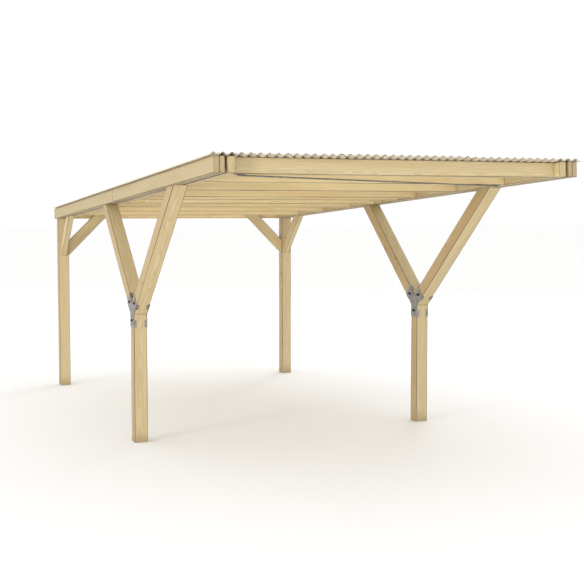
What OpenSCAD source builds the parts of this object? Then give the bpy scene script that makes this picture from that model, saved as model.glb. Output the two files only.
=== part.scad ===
// Open timber carport with two Y-shaped posts, two straight posts and a lean-to roof.
// Millimetres. +Z up, ground at z = 0, front (high end) towards -Y, +X to the right.

/* [Posts] */

// Side of the square posts and of the Y arms
post_w = 120; // [100:5:140]
// Distance across the carport between post centres
post_span = 2874; // [2600:1:3200]
// Y position of the two Y-shaped posts
front_post_y = -686; // [-900:1:-500]
// Y position of the two straight posts
back_post_y = 3043; // [2900:1:3060]
// Height of the joint where a Y post forks
fork_z = 1174; // [1000:1:1300]
// Lean of the Y arms from the vertical, degrees
arm_lean = 49.7; // [45:0.1:54]

/* [Roof frame] */

// Length of the roof timbers along the slope
roof_len = 6370; // [6000:1:6500]
// Fall of the roof towards the back, degrees
roof_fall = 3.3; // [2:0.1:4]
// Underside of the roof timbers at mid length
roof_z = 2193; // [2100:1:2350]
// Height of every roof timber
beam_h = 120; // [100:5:140]
// Half width over the outermost boards
roof_half_w = 1513; // [1500:1:1560]
// Thickness of the outermost board
outer_t = 43; // [35:1:50]
// Thickness of the board behind it
middle_t = 38; // [30:1:45]
// Gap between the middle board and the inner beam
side_gap = 20; // [10:1:30]
// Thickness of the inner beam
inner_t = 60; // [45:1:70]
// Set-back of the front cross beam from the timber ends
front_setback = 73; // [40:1:120]
// Set-back of the back cross beam from the timber ends
back_setback = 40; // [20:1:60]

/* [Joists] */

// Thickness of the joists and cross beams
joist_t = 60; // [45:1:80]
// Front faces of the joists, measured along the slope from mid length
joist_at = [-2376, -1546, -755, -374, 192, 802, 1575, 2356]; // [-2700:1:2700]

/* [Knee braces] */

// Thickness of the knee braces
knee_t = 60; // [45:1:80]
// Depth of the knee braces
knee_d = 120; // [90:5:140]
// Height of the lower toe of the knee braces on the post
knee_z = 1567; // [1400:1:1650]
// Lean of the two side knee braces from the vertical, degrees
knee_side_lean = 46.5; // [40:0.1:50]
// Lean of the two back knee braces from the vertical, degrees
knee_back_lean = 45; // [40:0.1:50]

/* [Steel] */

// Thickness of the Y-shaped fork plates
plate_t = 4; // [3:0.5:8]
// Length of a fork plate below the fork joint
plate_stem = 120; // [80:1:160]
// Length of a fork plate along each arm, from the joint
plate_arm = 145; // [120:1:200]
// Diameter of the wind rod under the front bay
rod_d = 12; // [8:1:16]

/* [Roof sheets] */

// Wave pitch of the sheets
wave_pitch = 70; // [69:1:74]
// Wave depth of the sheets
wave_d = 22; // [16:1:28]
// Sheet thickness
sheet_t = 3; // [2:0.5:4]
// Overhang of the sheets past the timber ends
sheet_over = 15; // [5:1:40]

/* [Hidden] */

half_post = post_w / 2;
post_x = post_span / 2;
roof_y = -8;                                  // puts the whole box centrally on the origin
fall_slope = tan(roof_fall);
outer_x = roof_half_w - outer_t;              // inner face of the outer board
board_gap = 2;                                // hand-tight gap between the two boards
middle_x = outer_x - board_gap;               // outer face of the middle board
gap_x = middle_x - middle_t;                  // inner face of the middle board
inner_x = gap_x - side_gap;                   // outer face of the inner beam
bay_x = inner_x - inner_t;                    // inner face of the inner beam
splice_gap = 5;                               // shadow gap where two lengths meet
arm_slope = tan(arm_lean);
arm_run = post_w / cos(arm_lean);             // horizontal width of an arm
crotch_h = (arm_run - half_post) / arm_slope; // fork joint to crotch
tab_w = 22;                                   // folded tabs of the fork plates, across
tab_len = 68;                                 // and along the timber
rod_inset = 45;                               // end of the wind rod to the inner beam
rod_drop = rod_d / 2 + plate_t - 1;           // rod centre below the timbers, let into its feet
rod_foot = 80;                                // flat feet of the wind rod, along it
rod_foot_w = 40;                              // and across it
rod_foot_inset = 20;                          // a foot runs past the rod's end by this
knee_lap = 100;                               // back knee braces lap the cross beam by this
lap_gap = 0.5;                                // clearance between lapped sheets
wave_steps = 12;                              // facets in one wave
half_waves = 22;                              // waves from the middle to the outer edge
crest_shift = 1 / 3;                          // the middle crest is this much wave to the right
lap_wave = 7;                                 // the outer sheets start at this wave
lap_width = 1;                                // waves that the middle sheet laps over them
timber = [0.84, 0.75, 0.56];
steel = [0.60, 0.59, 0.57];
sheeting = [0.90, 0.88, 0.80];

// height of the underside of the roof timbers at y
function under_z(y) = roof_z - (y - roof_y) * fall_slope;

// height where a line rising from (y0, z0) with y = y0 + dir * run * (z - z0) meets the underside
function meet_z(y0, z0, run) = (roof_z - (y0 - roof_y) * fall_slope + run * z0 * fall_slope)
    / (1 + run * fall_slope);

function wave_z(x) = wave_d / 2 * (1 + cos(360 * (x / wave_pitch - crest_shift)));

// puts a part drawn in the plane of the roof timbers onto the slope
module on_slope() {
    translate([0, roof_y, roof_z]) rotate([-roof_fall, 0, 0]) children();
}

// draws a side-view outline, given as [y, z] points, from x0 to x1
module side_view(points, x0, x1) {
    translate([x0, 0, 0]) rotate([90, 0, 90]) linear_extrude(height = x1 - x0) polygon(points);
}

// timber lying along the roof, from a to b, between x0 and x1 on one side
module side_timber(side, x0, x1, a, b) {
    color(timber) on_slope()
        translate([side > 0 ? x0 : -x1, a, 0]) cube([x1 - x0, b - a, beam_h]);
}

module cross_timber(at) {
    color(timber) on_slope() translate([-bay_x, at, 0]) cube([2 * bay_x, joist_t, beam_h]);
}

module front_post(side) {
    color(timber) translate([side * post_x - half_post, front_post_y - half_post, 0])
        cube([post_w, post_w, fork_z]);
}

module back_post(side) {
    y0 = back_post_y - half_post;
    y1 = back_post_y + half_post;
    color(timber) side_view(
        [[y0, 0], [y1, 0], [y1, under_z(y1)], [y0, under_z(y0)]],
        side * post_x - half_post, side * post_x + half_post
    );
}

// one arm of a Y post, dir is -1 towards the front and 1 towards the back
module arm(side, dir) {
    toe = front_post_y + dir * half_post;
    low_z = meet_z(toe, fork_z, dir * arm_slope);
    back_toe = toe - dir * arm_run;
    top_z = meet_z(back_toe, fork_z, dir * arm_slope);
    color(timber) side_view(
        [
            [toe, fork_z],
            [front_post_y, fork_z],
            [front_post_y, fork_z + crotch_h],
            [back_toe + dir * arm_slope * (top_z - fork_z), top_z],
            [toe + dir * arm_slope * (low_z - fork_z), low_z]
        ],
        side * post_x - half_post, side * post_x + half_post
    );
}

// tab folded off a fork plate, standing on the edge of a timber along +Z; the timber is on
// the -Y side of the edge and the plate lies at x 0 to plate_t
module plate_tab(start, length) {
    translate([-tab_w, 0, start]) cube([tab_w + plate_t, plate_t, length]);
    translate([0, -plate_t, start]) cube([plate_t, 2 * plate_t, length]);
}

// half of a fork plate, from the middle of the post to the arm on the dir side
module half_fork_plate(dir) {
    rise = plate_arm * cos(arm_lean);
    run = plate_arm * sin(arm_lean);
    side_view(
        [
            [-dir * plate_t, -plate_stem],
            [dir * half_post, -plate_stem],
            [dir * half_post, 0],
            [dir * (half_post + run), rise],
            [dir * (half_post + run - post_w * cos(arm_lean)), rise + post_w * sin(arm_lean)],
            [0, crotch_h],
            [-dir * plate_t, crotch_h - plate_t]
        ],
        0, plate_t
    );
    // on the post
    translate([0, dir * half_post, 0]) tab_side(dir) plate_tab(-plate_stem, tab_len);
    // under the arm and on top of it
    translate([0, dir * half_post, 0]) rotate([-dir * arm_lean, 0, 0]) {
        tab_side(dir) plate_tab(plate_arm - tab_len, tab_len);
        translate([0, -dir * post_w, 0]) tab_side(-dir) plate_tab(plate_arm - tab_len, tab_len);
    }
}

// turns a tab to the front or the back edge
module tab_side(dir) {
    if (dir > 0) children();
    else mirror([0, 1, 0]) children();
}

// steel plate over the fork; outside is 1 on the outer face of the post and -1 on the inner
module fork_plate(side, outside) {
    color(steel) translate([side * post_x, front_post_y, fork_z])
        mirror([side * outside > 0 ? 0 : 1, 0, 0]) translate([half_post, 0, 0]) union() {
            half_fork_plate(-1);
            half_fork_plate(1);
        }
}

// brace from the front face of a back post up to the side timbers
module knee_side(side) {
    k = tan(knee_side_lean);
    y0 = back_post_y - half_post;
    deep = knee_d / sin(knee_side_lean);
    low_z = meet_z(y0, knee_z, -k);
    top_z = meet_z(y0, knee_z + deep, -k);
    color(timber) side_view(
        [
            [y0, knee_z],
            [y0, knee_z + deep],
            [y0 - k * (top_z - knee_z - deep), top_z],
            [y0 - k * (low_z - knee_z), low_z]
        ],
        side * post_x - knee_t / 2, side * post_x + knee_t / 2
    );
}

// brace from the inner face of a back post up to the face of the back cross beam
module knee_back(side) {
    k = tan(knee_back_lean);
    x0 = post_x - half_post;
    deep = knee_d / sin(knee_back_lean);
    top_z = under_z(back_post_y) + knee_lap;
    color(timber) translate([0, back_post_y + knee_t / 2, 0]) rotate([90, 0, 0])
        linear_extrude(height = knee_t) polygon([
            [side * x0, knee_z],
            [side * x0, knee_z + deep],
            [side * (x0 - k * (top_z - knee_z - deep)), top_z],
            [side * (x0 - k * (top_z - knee_z)), top_z]
        ]);
}

// wave sheet from wave w0 to wave w1, counted from the middle, raised by lift
module roof_sheet(w0, w1, lift) {
    count = (w1 - w0) * wave_steps;
    step = wave_pitch / wave_steps;
    under = [for (i = [0 : count]) let (x = w0 * wave_pitch + i * step) [x, wave_z(x)]];
    over = [for (i = [count : -1 : 0]) let (x = w0 * wave_pitch + i * step)
        [x, wave_z(x) + sheet_t]];
    color(sheeting) on_slope()
        translate([0, roof_len / 2 + sheet_over, beam_h + lift]) rotate([90, 0, 0])
        linear_extrude(height = roof_len + 2 * sheet_over) polygon(concat(under, over));
}

module post_front_left() { front_post(-1); }
module post_front_right() { front_post(1); }
module post_back_left() { back_post(-1); }
module post_back_right() { back_post(1); }
module arm_front_left() { arm(-1, -1); }
module arm_front_right() { arm(1, -1); }
module arm_back_left() { arm(-1, 1); }
module arm_back_right() { arm(1, 1); }
module fork_plate_left_outer() { fork_plate(-1, 1); }
module fork_plate_left_inner() { fork_plate(-1, -1); }
module fork_plate_right_inner() { fork_plate(1, -1); }
module fork_plate_right_outer() { fork_plate(1, 1); }

module outer_board_front_left() {
    side_timber(-1, outer_x, roof_half_w, -roof_len / 2, -splice_gap / 2);
}
module outer_board_front_right() {
    side_timber(1, outer_x, roof_half_w, -roof_len / 2, -splice_gap / 2);
}
module outer_board_back_left() {
    side_timber(-1, outer_x, roof_half_w, splice_gap / 2, roof_len / 2);
}
module outer_board_back_right() {
    side_timber(1, outer_x, roof_half_w, splice_gap / 2, roof_len / 2);
}
module middle_board_left() { side_timber(-1, gap_x, middle_x, -roof_len / 2, roof_len / 2); }
module middle_board_right() { side_timber(1, gap_x, middle_x, -roof_len / 2, roof_len / 2); }
module inner_beam_front_left() {
    side_timber(-1, bay_x, inner_x, -roof_len / 2, -splice_gap / 2);
}
module inner_beam_front_right() {
    side_timber(1, bay_x, inner_x, -roof_len / 2, -splice_gap / 2);
}
module inner_beam_back_left() { side_timber(-1, bay_x, inner_x, splice_gap / 2, roof_len / 2); }
module inner_beam_back_right() { side_timber(1, bay_x, inner_x, splice_gap / 2, roof_len / 2); }

module front_cross_beam() { cross_timber(-roof_len / 2 + front_setback); }
module back_cross_beam() { cross_timber(roof_len / 2 - back_setback - joist_t); }
module joist_1() { cross_timber(joist_at[0]); }
module joist_2() { cross_timber(joist_at[1]); }
module joist_3() { cross_timber(joist_at[2]); }
module joist_4() { cross_timber(joist_at[3]); }
module joist_5() { cross_timber(joist_at[4]); }
module joist_6() { cross_timber(joist_at[5]); }
module joist_7() { cross_timber(joist_at[6]); }
module joist_8() { cross_timber(joist_at[7]); }

module knee_side_left() { knee_side(-1); }
module knee_side_right() { knee_side(1); }
module knee_back_left() { knee_back(-1); }
module knee_back_right() { knee_back(1); }

module roof_sheet_left() { roof_sheet(-half_waves, -lap_wave, 0); }
module roof_sheet_middle() {
    roof_sheet(-lap_wave - lap_width, lap_wave + lap_width, sheet_t + lap_gap);
}
module roof_sheet_right() { roof_sheet(lap_wave, half_waves, 0); }

// round rod under the front bay, from the left front corner to the right end of joist 1
module wind_rod() {
    y0 = -roof_len / 2 + front_setback + joist_t / 2;
    y1 = joist_at[0] + joist_t / 2;
    reach = bay_x - rod_inset;
    turn = atan2(y1 - y0, 2 * reach);
    span = sqrt(pow(y1 - y0, 2) + pow(2 * reach, 2));
    color(steel) on_slope() translate([-reach, y0, 0]) rotate([0, 0, turn]) union() {
        translate([0, 0, -rod_drop]) rotate([0, 90, 0]) cylinder(d = rod_d, h = span, $fn = 48);
        for (at = [-rod_foot_inset, span + rod_foot_inset - rod_foot])
            translate([at, -rod_foot_w / 2, -plate_t]) cube([rod_foot, rod_foot_w, plate_t]);
    }
}

post_front_left();
post_front_right();
post_back_left();
post_back_right();
arm_front_left();
arm_front_right();
arm_back_left();
arm_back_right();
fork_plate_left_outer();
fork_plate_left_inner();
fork_plate_right_inner();
fork_plate_right_outer();
outer_board_front_left();
outer_board_front_right();
outer_board_back_left();
outer_board_back_right();
middle_board_left();
middle_board_right();
inner_beam_front_left();
inner_beam_front_right();
inner_beam_back_left();
inner_beam_back_right();
front_cross_beam();
back_cross_beam();
joist_1();
joist_2();
joist_3();
joist_4();
joist_5();
joist_6();
joist_7();
joist_8();
knee_side_left();
knee_side_right();
knee_back_left();
knee_back_right();
roof_sheet_left();
roof_sheet_middle();
roof_sheet_right();
wind_rod();
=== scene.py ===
# Open timber carport: finishes, roof sheets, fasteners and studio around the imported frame.
import math
import random

import bmesh
import bpy
from mathutils import Matrix, Vector


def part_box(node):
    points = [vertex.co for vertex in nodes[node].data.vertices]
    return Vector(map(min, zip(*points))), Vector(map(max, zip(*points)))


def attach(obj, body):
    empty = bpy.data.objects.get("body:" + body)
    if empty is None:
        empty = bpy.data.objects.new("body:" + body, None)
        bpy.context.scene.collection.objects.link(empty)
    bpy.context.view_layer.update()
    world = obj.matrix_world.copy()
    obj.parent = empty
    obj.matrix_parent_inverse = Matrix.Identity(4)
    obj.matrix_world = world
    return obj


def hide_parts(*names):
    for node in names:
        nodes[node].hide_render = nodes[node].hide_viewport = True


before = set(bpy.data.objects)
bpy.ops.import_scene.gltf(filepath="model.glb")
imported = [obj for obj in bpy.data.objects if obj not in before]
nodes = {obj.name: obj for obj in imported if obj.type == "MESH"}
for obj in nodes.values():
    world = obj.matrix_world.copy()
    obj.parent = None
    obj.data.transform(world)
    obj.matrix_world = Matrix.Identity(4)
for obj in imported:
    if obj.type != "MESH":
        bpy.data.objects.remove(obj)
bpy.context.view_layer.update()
print("frame loaded:", len(nodes), "nodes")

# the frame's own layout, in metres and degrees, as the solids have it
layout = {
    "postWidth": 0.120,
    "armLean": 49.7,
    "roofFall": 3.3,
    "beamHeight": 0.120,
    "kneeSideLean": 46.5,
    "kneeBackLean": 45.0,
    "kneeDepth": 0.120,
    "roofLength": 6.370,
    "sheetOverhang": 0.015,
    "plate": 0.004,
    "rodInset": 0.045,
}
fall = math.radians(layout["roofFall"])
slopeAxis = Vector((0, math.cos(fall), -math.sin(fall)))
slopeNormal = Vector((0, math.sin(fall), math.cos(fall)))
armLean = math.radians(layout["armLean"])
halfPost = layout["postWidth"] / 2
joistNames = ["back_cross_beam"] + [f"joist_{i}" for i in range(1, 9)]


def middleOf(name):
    low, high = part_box(name)
    return (Vector(low) + Vector(high)) / 2


def armDirections(toFront):
    # along an arm of a Y post, and square to it on its under side
    return (Vector((0, toFront * math.sin(armLean), math.cos(armLean))),
            Vector((0, toFront * math.cos(armLean), -math.sin(armLean))))


def hexLinear(hexColour):
    # sRGB hex to the linear colour that shader sockets take
    parts = [int(hexColour[i:i + 2], 16) / 255 for i in (1, 3, 5)]
    linear = [c / 12.92 if c <= 0.04045 else ((c + 0.055) / 1.055) ** 2.4 for c in parts]
    return (*linear, 1.0)


def addNode(tree, kind, values=None, links=None, **settings):
    node = tree.nodes.new(kind)
    for key, value in settings.items():
        setattr(node, key, value)
    for socket, value in (values or {}).items():
        node.inputs[socket].default_value = value
    for socket, source in (links or {}).items():
        tree.links.new(source, node.inputs[socket])
    return node


def newMaterial(name):
    material = bpy.data.materials.new(name)
    material.use_nodes = True
    tree = material.node_tree
    tree.nodes.clear()
    shader = tree.nodes.new("ShaderNodeBsdfPrincipled")
    output = tree.nodes.new("ShaderNodeOutputMaterial")
    tree.links.new(shader.outputs[0], output.inputs[0])
    return material, tree, shader


# ---- timber ----
# Planed spruce: straw-coloured early wood, tan late wood, a silky sheen along the fibres.
timberLook = {
    "earlyWood": "#c8b78f",
    "lateWood": "#a58b58",
    "heartTint": "#baa070",
    "knotCore": "#7a5230",
    "knotRim": "#946a3e",
    "endGrain": "#a98a5c",
    "glueLine": "#8d6f45",
    "footStain": "#8c7a5c",
    # painted shade: the colour the arrises are darkened to, standing in for shadow lines between
    # pieces
    "arrisShadeTint": "#553f22",
    "arrisWidth": 0.006,
    "arrisDepth": 2.0,          # full tint reaches half way over the band
    "arrisShadeLeast": 0.6,          # share of the painted shade that the tone cloud never takes away
    "endArris": 0.6,            # the sawn ends are darkened less
    "ringSpacing": 0.0085,      # real rings are 3 to 4 mm; drawn coarser so that they show
    "ringAmount": 0.5,
    "lateSharpness": 2.6,       # late wood is a narrow band at the end of each ring
    "fibreWidth": 0.0022,
    "toneLength": 0.9,          # a tone runs about this far along a board
    "toneWidth": 0.045,
    "shadeSpread": 0.04,        # pieces differ by this much in tone
    "knotCell": 0.16,
    "knotShare": 0.4,           # share of the cells that hold a knot
    "lamella": 0.040,           # glued lamellas of the square posts and arms
    "glueAmount": 0.55,
    "endAmount": 0.25,
    "stainHeight": 0.13,
    "stainAmount": 0.55,
    "roughness": 0.58,
    "reliefStrength": 0.35,
    "reliefDepth": 0.0012,
    "edgeRound": 0.003,
    "boardPaintedShade": 0.77,          # painted light and shade, as factors on the colour: boards darker where they are lit more, arms and joists lighter where they lie in the roof's shade
    "armTone": 1.07,
    "joistTone": 1.5,
}


def timberMaterial(name, turn, centre, halfSize, glued, paintedLightFactor):
    rng = random.Random("spruce " + name)
    material, tree, shader = newMaterial("sprucePlaned_" + name)

    # x and y run across the piece and z along it, from its middle
    place = addNode(tree, "ShaderNodeTexCoord")
    local = addNode(tree, "ShaderNodeMapping",
                    {"Location": centre, "Rotation": turn.to_euler()},
                    {"Vector": place.outputs["Object"]}, vector_type="TEXTURE")
    localXyz = addNode(tree, "ShaderNodeSeparateXYZ", links={0: local.outputs[0]})

    # every piece, and every lamella of a glued one, is cut from another place in the log
    pith = Vector((rng.uniform(-0.05, 0.05), rng.choice((-1, 1)) * rng.uniform(0.03, 0.09),
                   rng.uniform(0, 40)))
    log = addNode(tree, "ShaderNodeVectorMath", {1: pith}, {0: local.outputs[0]},
                  operation="ADD")
    if glued:
        count = addNode(tree, "ShaderNodeMath",
                        {1: 1 / timberLook["lamella"], 2: 1.5},
                        {0: localXyz.outputs["X"]}, operation="MULTIPLY_ADD")
        whole = addNode(tree, "ShaderNodeMath", links={0: count.outputs[0]},
                        operation="FLOOR")
        jump = addNode(tree, "ShaderNodeVectorMath", {0: (0.043, 0.061, 7.3)},
                       {"Scale": whole.outputs[0]}, operation="SCALE")
        log = addNode(tree, "ShaderNodeVectorMath",
                      links={0: log.outputs[0], 1: jump.outputs[0]}, operation="ADD")

    # long, slow wander of the rings along the trunk
    wanderPlace = addNode(tree, "ShaderNodeMapping", {"Scale": (3.0, 3.0, 0.9)},
                          {"Vector": log.outputs[0]})
    wander = addNode(tree, "ShaderNodeTexNoise", {"Scale": 2.6, "Detail": 2.0},
                     {"Vector": wanderPlace.outputs[0]})
    wanderMid = addNode(tree, "ShaderNodeVectorMath", {1: (0.5, 0.5, 0.5)},
                        {0: wander.outputs["Color"]}, operation="SUBTRACT")
    wanderBy = addNode(tree, "ShaderNodeVectorMath", {1: (0.055, 0.055, 0.0)},
                       {0: wanderMid.outputs[0]}, operation="MULTIPLY")
    ringPlace = addNode(tree, "ShaderNodeVectorMath",
                        links={0: log.outputs[0], 1: wanderBy.outputs[0]}, operation="ADD")
    ringStretch = addNode(tree, "ShaderNodeMapping", {"Scale": (1, 1, 0.06)},
                          {"Vector": ringPlace.outputs[0]})
    ringRepeat = 0.314159       # a ring wave of scale 1 repeats at this distance
    rings = addNode(tree, "ShaderNodeTexWave",
                    {"Scale": ringRepeat / timberLook["ringSpacing"], "Distortion": 1.2,
                     "Detail": 2.0, "Detail Scale": 1.4},
                    {"Vector": ringStretch.outputs[0]},
                    wave_type="RINGS", rings_direction="Z", wave_profile="SAW")
    lateBand = addNode(tree, "ShaderNodeMath", {1: timberLook["lateSharpness"]},
                       {0: rings.outputs["Fac"]}, operation="POWER")

    fibrePlace = addNode(tree, "ShaderNodeMapping", {"Scale": (1, 1, 0.02)},
                         {"Vector": log.outputs[0]})
    fibre = addNode(tree, "ShaderNodeTexNoise",
                    {"Scale": 1 / timberLook["fibreWidth"] / 2, "Detail": 4.0,
                     "Roughness": 0.62},
                    {"Vector": fibrePlace.outputs[0]})
    tonePlace = addNode(tree, "ShaderNodeMapping",
                        {"Scale": (1, 1, timberLook["toneWidth"] / timberLook["toneLength"])},
                        {"Vector": log.outputs[0]})
    cloud = addNode(tree, "ShaderNodeTexNoise",
                    {"Scale": 1 / timberLook["toneWidth"], "Detail": 3.0},
                    {"Vector": tonePlace.outputs[0]})

    # the piece's random tone times its painted light factor, which offsets how the piece is lit
    toneAndPaintedLight = rng.uniform(1 - timberLook["shadeSpread"], 1 + timberLook["shadeSpread"]) * paintedLightFactor
    ringAmount = addNode(tree, "ShaderNodeMath", {1: timberLook["ringAmount"]},
                         {0: lateBand.outputs[0]}, operation="MULTIPLY")
    wood = addNode(tree, "ShaderNodeMix", {6: hexLinear(timberLook["earlyWood"]),
                                          7: hexLinear(timberLook["lateWood"])},
                   {0: ringAmount.outputs[0]}, data_type="RGBA")
    toneRange = addNode(tree, "ShaderNodeMapRange",
                        {"From Min": 0.42, "From Max": 0.72, "To Max": 0.5},
                        {"Value": cloud.outputs["Fac"]})
    toned = addNode(tree, "ShaderNodeMix", {7: hexLinear(timberLook["heartTint"])},
                    {0: toneRange.outputs[0], 6: wood.outputs[2]}, data_type="RGBA")
    fibreRange = addNode(tree, "ShaderNodeMapRange",
                         {"From Min": 0.3, "From Max": 0.7, "To Min": 0.87 * toneAndPaintedLight,
                          "To Max": 1.06 * toneAndPaintedLight},
                         {"Value": fibre.outputs["Fac"]})
    fibred = addNode(tree, "ShaderNodeVectorMath",
                     links={0: toned.outputs[2], "Scale": fibreRange.outputs[0]},
                     operation="SCALE")

    # knots: a few of the cells hold one, a dark core in a reddish rim
    knotPlace = addNode(tree, "ShaderNodeMapping", {"Scale": (1, 1, 0.7)},
                        {"Vector": log.outputs[0]})
    knotCells = addNode(tree, "ShaderNodeTexVoronoi", {"Scale": 1 / timberLook["knotCell"]},
                        {"Vector": knotPlace.outputs[0]})
    knotPick = addNode(tree, "ShaderNodeSeparateColor", links={0: knotCells.outputs["Color"]})
    knotKept = addNode(tree, "ShaderNodeMath", {1: timberLook["knotShare"]},
                       {0: knotPick.outputs[0]}, operation="LESS_THAN")
    knotEdge = addNode(tree, "ShaderNodeMapRange",
                       {"From Min": 0.06, "From Max": 0.12, "To Min": 1.0, "To Max": 0.0},
                       {"Value": knotCells.outputs["Distance"]}, interpolation_type="SMOOTHSTEP")
    knotMask = addNode(tree, "ShaderNodeMath",
                       links={0: knotEdge.outputs[0], 1: knotKept.outputs[0]},
                       operation="MULTIPLY")
    knotColour = addNode(tree, "ShaderNodeMix",
                         {6: hexLinear(timberLook["knotRim"]),
                          7: hexLinear(timberLook["knotCore"])},
                         {0: knotEdge.outputs[0]}, data_type="RGBA")
    knotted = addNode(tree, "ShaderNodeMix",
                      links={0: knotMask.outputs[0], 6: fibred.outputs[0],
                             7: knotColour.outputs[2]}, data_type="RGBA")
    colour = knotted.outputs[2]

    if glued:
        part = addNode(tree, "ShaderNodeMath", links={0: count.outputs[0]},
                       operation="FRACT")
        fromMid = addNode(tree, "ShaderNodeMath", {1: 0.5}, {0: part.outputs[0]},
                          operation="SUBTRACT")
        spread = addNode(tree, "ShaderNodeMath", links={0: fromMid.outputs[0]},
                         operation="ABSOLUTE")
        glue = addNode(tree, "ShaderNodeMapRange",
                       {"From Min": 0.482, "From Max": 0.494,
                        "To Max": timberLook["glueAmount"]},
                       {"Value": spread.outputs[0]})
        glueMix = addNode(tree, "ShaderNodeMix", {7: hexLinear(timberLook["glueLine"])},
                          {0: glue.outputs[0], 6: colour}, data_type="RGBA")
        colour = glueMix.outputs[2]

    # end grain drinks more oil and looks darker
    axis = turn @ Vector((0, 0, 1))
    normal = addNode(tree, "ShaderNodeNewGeometry")
    along = addNode(tree, "ShaderNodeVectorMath", {1: axis}, {0: normal.outputs["Normal"]},
                    operation="DOT_PRODUCT")
    endOn = addNode(tree, "ShaderNodeMath", links={0: along.outputs["Value"]},
                    operation="ABSOLUTE")
    endRange = addNode(tree, "ShaderNodeMapRange",
                       {"From Min": 0.78, "From Max": 0.9, "To Max": timberLook["endAmount"]},
                       {"Value": endOn.outputs[0]})
    ended = addNode(tree, "ShaderNodeMix", {7: hexLinear(timberLook["endGrain"])},
                    {0: endRange.outputs[0], 6: colour}, data_type="RGBA")
    colour = ended.outputs[2]

    # painted shade: every arris is darkened in a band, standing in for the shadow lines between
    # pieces; the tone cloud varies its strength
    fromMiddle = addNode(tree, "ShaderNodeVectorMath", links={0: local.outputs[0]},
                         operation="ABSOLUTE")
    band = timberLook["arrisWidth"]
    inner = addNode(tree, "ShaderNodeVectorMath", {1: [size - band for size in halfSize]},
                    {0: fromMiddle.outputs[0]}, operation="SUBTRACT")
    scaled = addNode(tree, "ShaderNodeVectorMath", {"Scale": timberLook["arrisDepth"] / band},
                     {0: inner.outputs[0]}, operation="SCALE")
    above = addNode(tree, "ShaderNodeVectorMath", {1: (0, 0, 0)}, {0: scaled.outputs[0]},
                    operation="MAXIMUM")
    full = addNode(tree, "ShaderNodeVectorMath", {1: (1, 1, timberLook["endArris"])},
                   {0: above.outputs[0]}, operation="MINIMUM")
    near = addNode(tree, "ShaderNodeSeparateXYZ", links={0: full.outputs[0]})
    arris = None
    for first, second in ((0, 1), (1, 2), (2, 0)):
        both = addNode(tree, "ShaderNodeMath",
                       links={0: near.outputs[first], 1: near.outputs[second]},
                       operation="MULTIPLY")
        if arris:
            both = addNode(tree, "ShaderNodeMath",
                           links={0: arris.outputs[0], 1: both.outputs[0]},
                           operation="MAXIMUM")
        arris = both
    arrisShadeVaried = addNode(tree, "ShaderNodeMapRange",
                        {"From Min": 0.3, "From Max": 0.6,
                          "To Min": timberLook["arrisShadeLeast"], "To Max": 1.0},
                        {"Value": cloud.outputs["Fac"]})
    arrisAmount = addNode(tree, "ShaderNodeMath",
                          links={0: arris.outputs[0], 1: arrisShadeVaried.outputs[0]},
                          operation="MULTIPLY")
    arrised = addNode(tree, "ShaderNodeMix", {7: hexLinear(timberLook["arrisShadeTint"])},
                      {0: arrisAmount.outputs[0], 6: colour}, data_type="RGBA")
    colour = arrised.outputs[2]

    # splashed and damp just above the ground
    height = addNode(tree, "ShaderNodeSeparateXYZ", links={0: place.outputs["Object"]})
    ragged = addNode(tree, "ShaderNodeMath", {1: 0.10, 2: -0.05}, {0: cloud.outputs["Fac"]},
                     operation="MULTIPLY_ADD")
    splash = addNode(tree, "ShaderNodeMath",
                     links={0: height.outputs["Z"], 1: ragged.outputs[0]}, operation="ADD")
    foot = addNode(tree, "ShaderNodeMapRange",
                   {"From Min": 0.0, "From Max": timberLook["stainHeight"],
                    "To Min": timberLook["stainAmount"], "To Max": 0.0},
                   {"Value": splash.outputs[0]}, interpolation_type="SMOOTHSTEP")
    footed = addNode(tree, "ShaderNodeMix", {7: hexLinear(timberLook["footStain"])},
                     {0: foot.outputs[0], 6: colour}, data_type="RGBA")

    tree.links.new(footed.outputs[2], shader.inputs["Base Color"])
    rough = addNode(tree, "ShaderNodeMapRange",
                    {"To Min": timberLook["roughness"] - 0.08,
                     "To Max": timberLook["roughness"] + 0.12},
                    {"Value": fibre.outputs["Fac"]})
    tree.links.new(rough.outputs[0], shader.inputs["Roughness"])
    shader.inputs["IOR"].default_value = 1.5
    relief = addNode(tree, "ShaderNodeMath", {1: -0.5},
                     {0: lateBand.outputs[0], 2: fibre.outputs["Fac"]},
                     operation="MULTIPLY_ADD")
    bump = addNode(tree, "ShaderNodeBump",
                   {"Strength": timberLook["reliefStrength"],
                    "Distance": timberLook["reliefDepth"]},
                   {"Height": relief.outputs[0]})
    tree.links.new(bump.outputs[0], shader.inputs["Normal"])
    return material


def finishTimber(name, axis, across, glued, paintedLightFactor=1.0):
    piece = nodes[name]
    axis = Vector(axis).normalized()
    side = axis.cross(Vector(across)).normalized()
    turn = Matrix((side.cross(axis), side, axis)).transposed()
    # the piece's own middle and half sizes, measured along its axes
    spots = [turn.transposed() @ vert.co for vert in piece.data.vertices]
    low = [min(spot[i] for spot in spots) for i in range(3)]
    high = [max(spot[i] for spot in spots) for i in range(3)]
    centre = turn @ Vector([(a + b) / 2 for a, b in zip(low, high)])
    halfSize = [(b - a) / 2 for a, b in zip(low, high)]
    piece.data.materials.clear()
    piece.data.materials.append(
        timberMaterial(name, turn, centre, halfSize, glued, paintedLightFactor))
    roundEdges(piece, timberLook["edgeRound"], 3)


def roundEdges(piece, width, segments):
    weld = piece.modifiers.new("joinFaces", "WELD")
    weld.merge_threshold = 0.00005
    bevel = piece.modifiers.new("roundEdges", "BEVEL")
    bevel.width = width
    bevel.segments = segments
    bevel.limit_method = "ANGLE"
    bevel.angle_limit = math.radians(25)


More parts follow.
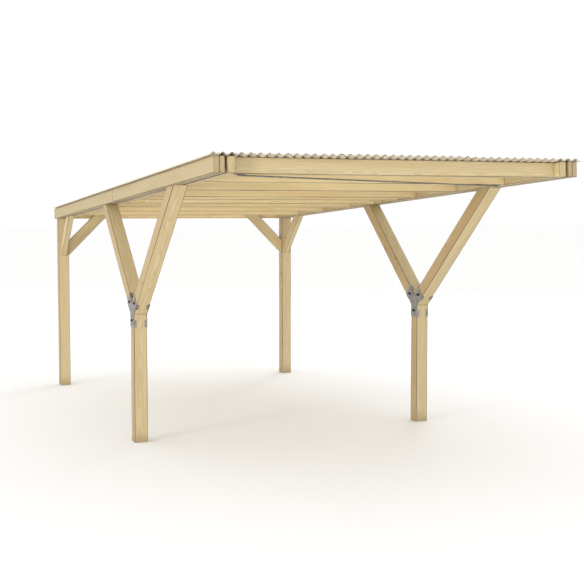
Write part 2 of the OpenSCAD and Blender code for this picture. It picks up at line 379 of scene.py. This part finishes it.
upright = Vector((0, 0, 1))
sideways = Vector((1, 0, 0))
# the tone factors passed to finishTimber below are painted light and shade that offset how each
# piece is lit
for end in ("front", "back"):
    for side in ("left", "right"):
        toFront = -1 if end == "front" else 1
        along, under = armDirections(toFront)
        finishTimber(f"post_{end}_{side}", upright, sideways, True)
        finishTimber(f"arm_{end}_{side}", along, sideways, True, timberLook["armTone"])
        finishTimber(f"outer_board_{end}_{side}", slopeAxis, sideways, False,
                     timberLook["boardPaintedShade"])
        finishTimber(f"inner_beam_{end}_{side}", slopeAxis, sideways, False)
for side in ("left", "right"):
    outward = -1 if side == "left" else 1
    sideLean = math.radians(layout["kneeSideLean"])
    backLean = math.radians(layout["kneeBackLean"])
    finishTimber(f"middle_board_{side}", slopeAxis, sideways, False, timberLook["boardPaintedShade"])
    finishTimber(f"knee_side_{side}", (0, -math.sin(sideLean), math.cos(sideLean)),
                 sideways, False)
    finishTimber(f"knee_back_{side}",
                 (-outward * math.sin(backLean), 0, math.cos(backLean)), (0, 1, 0), False,
                 timberLook["armTone"])
finishTimber("front_cross_beam", sideways, slopeAxis, False)
for name in joistNames:
    finishTimber(name, sideways, slopeAxis, False, timberLook["joistTone"])
print("timber finished")

# ---- steel ----
# Hot-dip galvanised sheet: dull grey zinc with faint crystal spangle.
zincLook = {
    "zinc": "#94908b",
    "zincDark": "#787571",
    "zincBright": "#adaaa5",
    "spangle": 0.012,
    "roughness": 0.46,
    "edgeRound": 0.0008,
}


def zincMaterial():
    material, tree, shader = newMaterial("galvanisedZinc")
    place = addNode(tree, "ShaderNodeTexCoord")
    cells = addNode(tree, "ShaderNodeTexVoronoi", {"Scale": 1 / zincLook["spangle"]},
                    {"Vector": place.outputs["Object"]})
    pick = addNode(tree, "ShaderNodeSeparateColor", links={0: cells.outputs["Color"]})
    cloud = addNode(tree, "ShaderNodeTexNoise", {"Scale": 22.0, "Detail": 4.0},
                    {"Vector": place.outputs["Object"]})
    spangled = addNode(tree, "ShaderNodeMix",
                       {6: hexLinear(zincLook["zincDark"]), 7: hexLinear(zincLook["zinc"])},
                       {0: pick.outputs[0]}, data_type="RGBA")
    cloudRange = addNode(tree, "ShaderNodeMapRange",
                         {"From Min": 0.45, "From Max": 0.75, "To Max": 0.6},
                         {"Value": cloud.outputs["Fac"]})
    colour = addNode(tree, "ShaderNodeMix", {7: hexLinear(zincLook["zincBright"])},
                     {0: cloudRange.outputs[0], 6: spangled.outputs[2]}, data_type="RGBA")
    tree.links.new(colour.outputs[2], shader.inputs["Base Color"])
    rough = addNode(tree, "ShaderNodeMapRange",
                    {"To Min": zincLook["roughness"] - 0.1,
                     "To Max": zincLook["roughness"] + 0.14},
                    {"Value": pick.outputs[1]})
    tree.links.new(rough.outputs[0], shader.inputs["Roughness"])
    shader.inputs["Metallic"].default_value = 0.85
    bump = addNode(tree, "ShaderNodeBump", {"Strength": 0.15, "Distance": 0.0004},
                   {"Height": cloud.outputs["Fac"]})
    tree.links.new(bump.outputs[0], shader.inputs["Normal"])
    return material


zinc = zincMaterial()
plateNames = [f"fork_plate_{side}_{face}" for side in ("left", "right")
              for face in ("inner", "outer")]
for name in plateNames:
    piece = nodes[name]
    piece.data.materials.clear()
    piece.data.materials.append(zinc)
    roundEdges(piece, zincLook["edgeRound"], 2)
nodes["wind_rod"].data.materials.clear()
nodes["wind_rod"].data.materials.append(zinc)
print("steel finished")


def makeObject(name, mesh, materials):
    mesh.normal_update()
    data = bpy.data.meshes.new(name)
    mesh.to_mesh(data)
    mesh.free()
    piece = bpy.data.objects.new(name, data)
    bpy.context.scene.collection.objects.link(piece)
    for material in materials:
        data.materials.append(material)
    return piece


# ---- roof sheets ----
# Cream weatherproof corrugated sheet: satin surface, dust lying in the valleys.
sheetLook = {
    "cream": "#d6ccb6",
    "creamLight": "#e4dcca",
    "dust": "#9c9078",
    "cutEdge": "#756852",
    "cutEdgeWidth": 0.006,
    "roughness": 0.42,
    "pitch": 0.070,
    "crestShift": 1 / 3,        # the middle crest is this much wave to the right
    "depth": 0.022,
    "thickness": 0.003,
    "stepsPerWave": 24,
    "lapLift": 0.0035,          # the middle sheet lies on its neighbours
}


def sheetMaterial(roofBase):
    material, tree, shader = newMaterial("creamCorrugatedSheet")
    place = addNode(tree, "ShaderNodeTexCoord")
    local = addNode(tree, "ShaderNodeMapping",
                    {"Location": roofBase, "Rotation": (-fall, 0, 0)},
                    {"Vector": place.outputs["Object"]}, vector_type="TEXTURE")
    xyz = addNode(tree, "ShaderNodeSeparateXYZ", links={0: local.outputs[0]})
    streakPlace = addNode(tree, "ShaderNodeMapping", {"Scale": (1, 0.05, 1)},
                          {"Vector": local.outputs[0]})
    streak = addNode(tree, "ShaderNodeTexNoise", {"Scale": 28.0, "Detail": 5.0},
                     {"Vector": streakPlace.outputs[0]})
    cloud = addNode(tree, "ShaderNodeTexNoise", {"Scale": 2.2, "Detail": 4.0},
                    {"Vector": local.outputs[0]})
    base = addNode(tree, "ShaderNodeMix",
                   {6: hexLinear(sheetLook["cream"]), 7: hexLinear(sheetLook["creamLight"])},
                   {0: cloud.outputs["Fac"]}, data_type="RGBA")
    # dust gathers low in the waves and where rain has run
    low = addNode(tree, "ShaderNodeMapRange",
                  {"From Min": 0.002, "From Max": sheetLook["depth"] * 0.6,
                   "To Min": 0.75, "To Max": 0.08},
                  {"Value": xyz.outputs["Z"]}, interpolation_type="SMOOTHSTEP")
    dustRange = addNode(tree, "ShaderNodeMapRange",
                        {"From Min": 0.35, "From Max": 0.75},
                        {"Value": streak.outputs["Fac"]})
    dustMask = addNode(tree, "ShaderNodeMath",
                       links={0: low.outputs[0], 1: dustRange.outputs[0]},
                       operation="MULTIPLY")
    dusty = addNode(tree, "ShaderNodeMix", {7: hexLinear(sheetLook["dust"])},
                    {0: dustMask.outputs[0], 6: base.outputs[2]}, data_type="RGBA")
    # the sawn ends hold dirt
    fromMiddle = addNode(tree, "ShaderNodeMath", links={0: xyz.outputs["Y"]},
                         operation="ABSOLUTE")
    sheetEnd = layout["roofLength"] / 2 + layout["sheetOverhang"]
    nearEnd = addNode(tree, "ShaderNodeMapRange",
                      {"From Min": sheetEnd - sheetLook["cutEdgeWidth"],
                       "From Max": sheetEnd - 0.001},
                      {"Value": fromMiddle.outputs[0]}, interpolation_type="SMOOTHSTEP")
    edged = addNode(tree, "ShaderNodeMix", {7: hexLinear(sheetLook["cutEdge"])},
                    {0: nearEnd.outputs[0], 6: dusty.outputs[2]}, data_type="RGBA")
    tree.links.new(edged.outputs[2], shader.inputs["Base Color"])
    rough = addNode(tree, "ShaderNodeMapRange",
                    {"To Min": sheetLook["roughness"] - 0.06, "To Max": 0.7},
                    {"Value": dustMask.outputs[0]})
    tree.links.new(rough.outputs[0], shader.inputs["Roughness"])
    shader.inputs["IOR"].default_value = 1.49
    grain = addNode(tree, "ShaderNodeTexNoise", {"Scale": 420.0, "Detail": 2.0},
                    {"Vector": local.outputs[0]})
    bump = addNode(tree, "ShaderNodeBump", {"Strength": 0.12, "Distance": 0.0006},
                   {"Height": grain.outputs["Fac"]})
    tree.links.new(bump.outputs[0], shader.inputs["Normal"])
    return material


# the roof plane: x across, y along the slope from mid length, z square to it from the base
lowBox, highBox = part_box("middle_board_left")
roofMid = Vector((0, (lowBox[1] + highBox[1]) / 2, (lowBox[2] + highBox[2]) / 2))
roofTop = roofMid + slopeNormal * (layout["beamHeight"] / 2)
roofBottom = roofMid - slopeNormal * (layout["beamHeight"] / 2)
roofTurn = Matrix.Rotation(-fall, 4, "X")


def onRoof(matrixOrPoint, base=roofTop):
    return Matrix.Translation(base) @ roofTurn @ matrixOrPoint


def alongRoof(name):
    return (middleOf(name) - roofMid).dot(slopeAxis)


sheetFinish = sheetMaterial(roofTop)


def corrugatedSheet(name, node, lift):
    low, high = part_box(node)
    x0, x1 = low[0], high[0]
    steps = round((x1 - x0) / sheetLook["pitch"] * sheetLook["stepsPerWave"])
    mesh = bmesh.new()
    bmesh.ops.create_grid(mesh, x_segments=steps, y_segments=1, size=0.5)
    length = layout["roofLength"] + 2 * layout["sheetOverhang"]
    for vert in mesh.verts:
        x = x0 + (vert.co.x + 0.5) * (x1 - x0)
        turns = x / sheetLook["pitch"] - sheetLook["crestShift"]
        wave = sheetLook["depth"] / 2 * (1 + math.cos(2 * math.pi * turns))
        vert.co = (x, vert.co.y * length, wave + lift)
    top = bmesh.ops.extrude_face_region(mesh, geom=mesh.faces[:])
    raised = [g for g in top["geom"] if isinstance(g, bmesh.types.BMVert)]
    bmesh.ops.translate(mesh, vec=(0, 0, sheetLook["thickness"]), verts=raised)
    bmesh.ops.recalc_face_normals(mesh, faces=mesh.faces[:])
    for face in mesh.faces:
        face.smooth = True
    for edge in mesh.edges:
        if len(edge.link_faces) == 2 and edge.calc_face_angle() > math.radians(40):
            edge.smooth = False
    bmesh.ops.transform(mesh, matrix=onRoof(Matrix.Identity(4)), verts=mesh.verts[:])
    sheet = makeObject(name, mesh, [sheetFinish])
    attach(sheet, "root")
    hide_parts(node)


corrugatedSheet("corrugatedLeft", "roof_sheet_left", 0.0)
corrugatedSheet("corrugatedMiddle", "roof_sheet_middle", sheetLook["lapLift"])
corrugatedSheet("corrugatedRight", "roof_sheet_right", 0.0)
print("roof sheets made")

# ---- fasteners ----
# Blackened bolts: thin dark oxide on steel, worn lighter in random patches.
boltLook = {
    "oxide": "#2b2927",
    "oxideWorn": "#4a4641",
    "roughness": 0.42,
    "acrossFlats": 0.019,
    "headHeight": 0.0075,
    "washerRadius": 0.013,
    "washerHeight": 0.0025,
    "nutHeight": 0.0095,
    "shankRadius": 0.006,
    "shankShows": 0.005,
    "washerBevel": 0.0006,
    "headBevel": 0.0012,
    "belowFork": 0.058,         # lower hole, below the fork joint
    "alongArm": 0.090,          # upper holes, along each arm from its toe
}


def oxideMaterial():
    material, tree, shader = newMaterial("blackenedSteel")
    place = addNode(tree, "ShaderNodeTexCoord")
    mottle = addNode(tree, "ShaderNodeTexNoise", {"Scale": 260.0, "Detail": 3.0},
                     {"Vector": place.outputs["Object"]})
    wear = addNode(tree, "ShaderNodeMapRange", {"From Min": 0.5, "From Max": 0.72},
                   {"Value": mottle.outputs["Fac"]})
    colour = addNode(tree, "ShaderNodeMix",
                     {6: hexLinear(boltLook["oxide"]), 7: hexLinear(boltLook["oxideWorn"])},
                     {0: wear.outputs[0]}, data_type="RGBA")
    tree.links.new(colour.outputs[2], shader.inputs["Base Color"])
    rough = addNode(tree, "ShaderNodeMapRange",
                    {"To Min": boltLook["roughness"], "To Max": 0.62},
                    {"Value": mottle.outputs["Fac"]})
    tree.links.new(rough.outputs[0], shader.inputs["Roughness"])
    shader.inputs["Metallic"].default_value = 0.9
    return material


oxide = oxideMaterial()


def bevelSharp(mesh, made, width, segments=2):
    sharp = [e for e in {e for v in made["verts"] for e in v.link_edges}
             if e.calc_face_angle(0) > math.radians(50)]
    bmesh.ops.bevel(mesh, geom=sharp, offset=width, affect="EDGES", segments=segments,
                    profile=0.5, material=-1)


def addDisc(mesh, at, low, high, radiusLow, radiusHigh, segments):
    # a cylinder or cone along the matrix's Z, from low to high
    return bmesh.ops.create_cone(
        mesh, cap_ends=True, segments=segments, radius1=radiusLow, radius2=radiusHigh,
        depth=high - low, matrix=at @ Matrix.Translation((0, 0, (low + high) / 2)))


def addHexBolt(mesh, at, nut):
    # washer and hexagon head; a nut also shows the rounded end of the bolt
    washerTop = boltLook["washerHeight"]
    headTop = washerTop + boltLook["nutHeight" if nut else "headHeight"]
    corner = boltLook["acrossFlats"] / math.sqrt(3)
    bevelSharp(mesh, addDisc(mesh, at, 0, washerTop, boltLook["washerRadius"],
                             boltLook["washerRadius"], 24), boltLook["washerBevel"])
    bevelSharp(mesh, addDisc(mesh, at, washerTop, headTop, corner, corner, 6),
               boltLook["headBevel"])
    if nut:
        shankTop = headTop + boltLook["shankShows"]
        bevelSharp(mesh, addDisc(mesh, at, washerTop, shankTop, boltLook["shankRadius"],
                                 boltLook["shankRadius"], 16), boltLook["headBevel"])


def facing(point, direction):
    # a matrix at the point with its Z along the direction
    turn = Vector(direction).to_track_quat("Z", "Y").to_matrix().to_4x4()
    return Matrix.Translation(point) @ turn


def finishFasteners(name, mesh, material):
    for face in mesh.faces:
        face.smooth = False
    bmesh.ops.recalc_face_normals(mesh, faces=mesh.faces[:])
    piece = makeObject(name, mesh, [material])
    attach(piece, "root")


# Where the wood screws stand, in metres.
screwPlaces = {
    "tabBelowFork": 0.086,
    "tabAlongArm": 0.111,
    "tabFromFace": 0.009,
    "armBelowRoof": 0.10,
    "armPair": 0.03,            # half the distance between the two of a pair
    "kneeFromToe": 0.07,
    "kneeFromTop": 0.06,
    "kneePair": 0.014,
    "kneeThrough": (0.055, 0.10),
    "boardFromEnd": 0.05,
    "boardMidway": 1.6,
    "boardAtSplice": 0.045,
    "boardPair": 0.035,
    "rodFromEnd": 0.02,
    "rodPair": 0.014,
}

forkBolts = bmesh.new()
screwSpots = []                 # place and outward direction of each wood screw
for side in ("left", "right"):
    post = middleOf(f"post_front_{side}")
    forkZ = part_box(f"post_front_{side}")[1][2]
    for face in ("inner", "outer"):
        low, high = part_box(f"fork_plate_{side}_{face}")
        outwardX = 1 if (side == "right") == (face == "outer") else -1
        faceX = high[0] if outwardX > 0 else low[0]
        tabX = post.x + outwardX * (halfPost - screwPlaces["tabFromFace"])
        boltHoles = [(0, -boltLook["belowFork"])]
        for toFront in (-1, 1):
            along, under = armDirections(toFront)
            toe = Vector((tabX, post.y + toFront * halfPost, forkZ))
            armBolt = (Vector((0, toFront * halfPost, 0)) - under * halfPost
                       + along * boltLook["alongArm"])
            boltHoles.append((armBolt.y, armBolt.z))
            # small screws in the folded tabs: on the post, under the arm and on top of it
            onPost = Vector((0, toFront * layout["plate"], -screwPlaces["tabBelowFork"]))
            onArm = toe + along * screwPlaces["tabAlongArm"]
            screwSpots.append((toe + onPost, (0, toFront, 0)))
            screwSpots.append((onArm + under * layout["plate"], under))
            screwSpots.append((onArm - under * (layout["postWidth"] + layout["plate"]), -under))
        for y, z in boltHoles:
            addHexBolt(forkBolts, facing((faceX, post.y + y, forkZ + z), (outwardX, 0, 0)),
                       face == "inner")
finishFasteners("forkBolts", forkBolts, oxide)
print("fork bolts made")

# Zinc-plated wood screws: small sunk heads with a hexagon recess.
screwLook = {
    "headRadius": 0.0045,
    "proud": 0.0004,
    "sunk": 0.0016,
    "recess": 0.0024,
    "recessDepth": 0.0009,
}


def addWoodScrew(mesh, at):
    made = addDisc(mesh, at, -screwLook["sunk"], screwLook["proud"],
                   screwLook["headRadius"] * 0.7, screwLook["headRadius"], 12)
    upward = at.to_3x3() @ Vector((0, 0, 1))
    faces = {f for v in made["verts"] for f in v.link_faces}
    for face in faces:
        face.normal_update()
    top = max(faces, key=lambda f: f.normal.dot(upward))
    bmesh.ops.inset_individual(mesh, faces=[top],
                               thickness=screwLook["headRadius"] - screwLook["recess"])
    bmesh.ops.translate(mesh, vec=-upward * screwLook["recessDepth"], verts=top.verts[:])


tanFall = math.tan(fall)

# two on each side of every arm, just under the roof timbers
for side in ("left", "right"):
    post = middleOf(f"post_front_{side}")
    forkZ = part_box(f"post_front_{side}")[1][2]
    for toFront in (-1, 1):
        along, under = armDirections(toFront)
        start = Vector((post.x, post.y + toFront * halfPost, forkZ)) - under * halfPost
        top = roofBottom.z - screwPlaces["armBelowRoof"]
        reach = ((top - start.z - (start.y - roofBottom.y) * tanFall)
                 / (along.z + along.y * tanFall))
        for across in (-screwPlaces["armPair"], screwPlaces["armPair"]):
            for outwardX in (-1, 1):
                spot = start + along * reach + under * across
                spot.x += outwardX * halfPost
                screwSpots.append((spot, (outwardX, 0, 0)))

# knee braces: two under each end of the side ones, two under the foot of the back ones,
# and two through those into the cross beam
for side in ("left", "right"):
    outward = -1 if side == "left" else 1
    low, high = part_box(f"knee_side_{side}")
    lean = math.radians(layout["kneeSideLean"])
    along = Vector((0, -math.sin(lean), math.cos(lean)))
    under = Vector((0, -math.cos(lean), -math.sin(lean)))
    toe = Vector(((low[0] + high[0]) / 2, high[1], low[2]))
    length = (high[1] - low[1]) / math.sin(lean)
    for distance in (screwPlaces["kneeFromToe"], length - screwPlaces["kneeFromTop"]):
        for across in (-screwPlaces["kneePair"], screwPlaces["kneePair"]):
            screwSpots.append((toe + along * distance + Vector((across, 0, 0)), under))
    low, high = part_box(f"knee_back_{side}")
    lean = math.radians(layout["kneeBackLean"])
    along = Vector((-outward * math.sin(lean), 0, math.cos(lean)))
    under = Vector((-outward * math.cos(lean), 0, -math.sin(lean)))
    toe = Vector((high[0] if outward > 0 else low[0], (low[1] + high[1]) / 2, low[2]))
    for across in (-screwPlaces["kneePair"], screwPlaces["kneePair"]):
        spot = toe + along * screwPlaces["kneeFromToe"] + Vector((0, across, 0))
        screwSpots.append((spot, under))
    length = (high[2] - low[2]) / math.cos(lean)
    for back in screwPlaces["kneeThrough"]:
        spot = toe + along * (length - back) - under * layout["kneeDepth"] / 2
        screwSpots.append((Vector((spot.x, low[1], spot.z)), (0, -1, 0)))

# pairs along the outer boards, at their ends, at the splice and half way
boardEnd = layout["roofLength"] / 2 - screwPlaces["boardFromEnd"]
boardRow = [sign * distance for sign in (-1, 1)
            for distance in (screwPlaces["boardAtSplice"], screwPlaces["boardMidway"], boardEnd)]
for outwardX in (-1, 1):
    low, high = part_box("outer_board_front_" + ("left" if outwardX < 0 else "right"))
    faceX = low[0] if outwardX < 0 else high[0]
    for distance in sorted(boardRow):
        for up in (-screwPlaces["boardPair"], screwPlaces["boardPair"]):
            spot = roofMid + slopeAxis * distance + slopeNormal * up
            screwSpots.append((Vector((faceX, spot.y, spot.z)), (outwardX, 0, 0)))

# two in each foot of the wind rod
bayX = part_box("joist_1")[1][0]
rodReach = bayX - layout["rodInset"]
rodFrom = Vector((-rodReach, alongRoof("front_cross_beam"), 0))
rodTo = Vector((rodReach, alongRoof("joist_1"), 0))
rodAlong = (rodTo - rodFrom).normalized()
rodAcross = Vector((-rodAlong.y, rodAlong.x, 0))
rodStep = rodAlong * screwPlaces["rodFromEnd"]
for rodFoot in (rodFrom + rodStep, rodTo - rodStep):
    for across in (-screwPlaces["rodPair"], screwPlaces["rodPair"]):
        spot = rodFoot + rodAcross * across - Vector((0, 0, layout["plate"]))
        screwSpots.append((onRoof(spot, roofBottom), -slopeNormal))

woodScrews = bmesh.new()
for point, direction in screwSpots:
    addWoodScrew(woodScrews, facing(point, direction))
finishFasteners("woodScrews", woodScrews, zinc)
print("wood screws made:", len(screwSpots))

# Roof screws: small hexagon heads on domed washers, on every second crest over each timber.
roofScrewLook = {
    "washerRadius": 0.0095,
    "washerTop": 0.0062,
    "washerHeight": 0.0016,
    "washerSkirt": 0.0028,
    "headRadius": 0.0046,
    "headHeight": 0.0042,
    "crestStep": 2,
}
roofScrews = bmesh.new()
crests = round(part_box("roof_sheet_right")[1][0] / sheetLook["pitch"])
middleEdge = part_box("roof_sheet_middle")[1][0]
for row in ["front_cross_beam"] + joistNames:
    for crest in range(1 - crests, crests, roofScrewLook["crestStep"]):
        x = (crest + sheetLook["crestShift"]) * sheetLook["pitch"]
        lift = sheetLook["lapLift"] if abs(x) < middleEdge else 0
        top = sheetLook["depth"] + sheetLook["thickness"] + lift
        at = onRoof(Matrix.Translation((x, alongRoof(row), top)))
        washerTop = roofScrewLook["washerHeight"]
        addDisc(roofScrews, at, -roofScrewLook["washerSkirt"], washerTop,
                roofScrewLook["washerRadius"], roofScrewLook["washerTop"], 12)
        addDisc(roofScrews, at, washerTop, washerTop + roofScrewLook["headHeight"],
                roofScrewLook["headRadius"], roofScrewLook["headRadius"], 6)
finishFasteners("roofScrews", roofScrews, zinc)
print("roof screws made")

# ---- studio ----
studio = {
    "floor": "#fbfbfa",
    "sky": "#ffffff",
    "skyStrength": 1.02,
    "keyPower": 3200,
    "frontPower": 350,
    "backPower": 500,
    "floorSize": 150,
    "cameraPlace": (-3.9792, -10.9216, 2.1101),
    "cameraDown": 4.04,         # degrees below the level
    "cameraTurn": 21.55,        # degrees to the right of straight ahead
    "cameraLens": 71.04,
}
world = bpy.data.worlds.new("studioWorld")
bpy.context.scene.world = world
world.use_nodes = True
background = world.node_tree.nodes["Background"]
background.inputs[0].default_value = hexLinear(studio["sky"])
background.inputs[1].default_value = studio["skyStrength"]

floorMesh = bmesh.new()
bmesh.ops.create_grid(floorMesh, x_segments=1, y_segments=1, size=studio["floorSize"])
floorFinish, _, floorShader = newMaterial("paleFloor")
floorShader.inputs["Base Color"].default_value = hexLinear(studio["floor"])
floorShader.inputs["Roughness"].default_value = 0.9
floorShader.inputs["Specular IOR Level"].default_value = 0.1
floor = makeObject("floor", floorMesh, [floorFinish])


def areaLight(name, place, target, size, power, colour="#ffffff"):
    data = bpy.data.lights.new(name, "AREA")
    data.shape = "DISK"
    data.size = size
    data.energy = power
    data.color = hexLinear(colour)[:3]
    lamp = bpy.data.objects.new(name, data)
    lamp.location = place
    lamp.rotation_euler = (Vector(target) - Vector(place)).to_track_quat("-Z", "Y").to_euler()
    lamp.visible_camera = False
    bpy.context.scene.collection.objects.link(lamp)


areaLight("keyLight", (-22, -11, 2.4), (0, 0, 1.6), 6, studio["keyPower"], "#fffaf4")
areaLight("frontLight", (2, -20, 1.8), (0, 0, 1.8), 5, studio["frontPower"], "#ffffff")
areaLight("backLight", (11, 13, 6), (0, 0, 1.2), 6, studio["backPower"], "#f8faff")

camera = bpy.data.objects.new("camera", bpy.data.cameras.new("camera"))
bpy.context.scene.collection.objects.link(camera)
camera.data.sensor_width = 36
camera.data.lens = studio["cameraLens"]
camera.data.clip_end = 500
camera.location = studio["cameraPlace"]
camera.rotation_euler = (math.radians(90 - studio["cameraDown"]), 0,
                         -math.radians(studio["cameraTurn"]))
bpy.context.scene.camera = camera
bpy.context.scene.view_settings.view_transform = "Standard"
print("studio set")
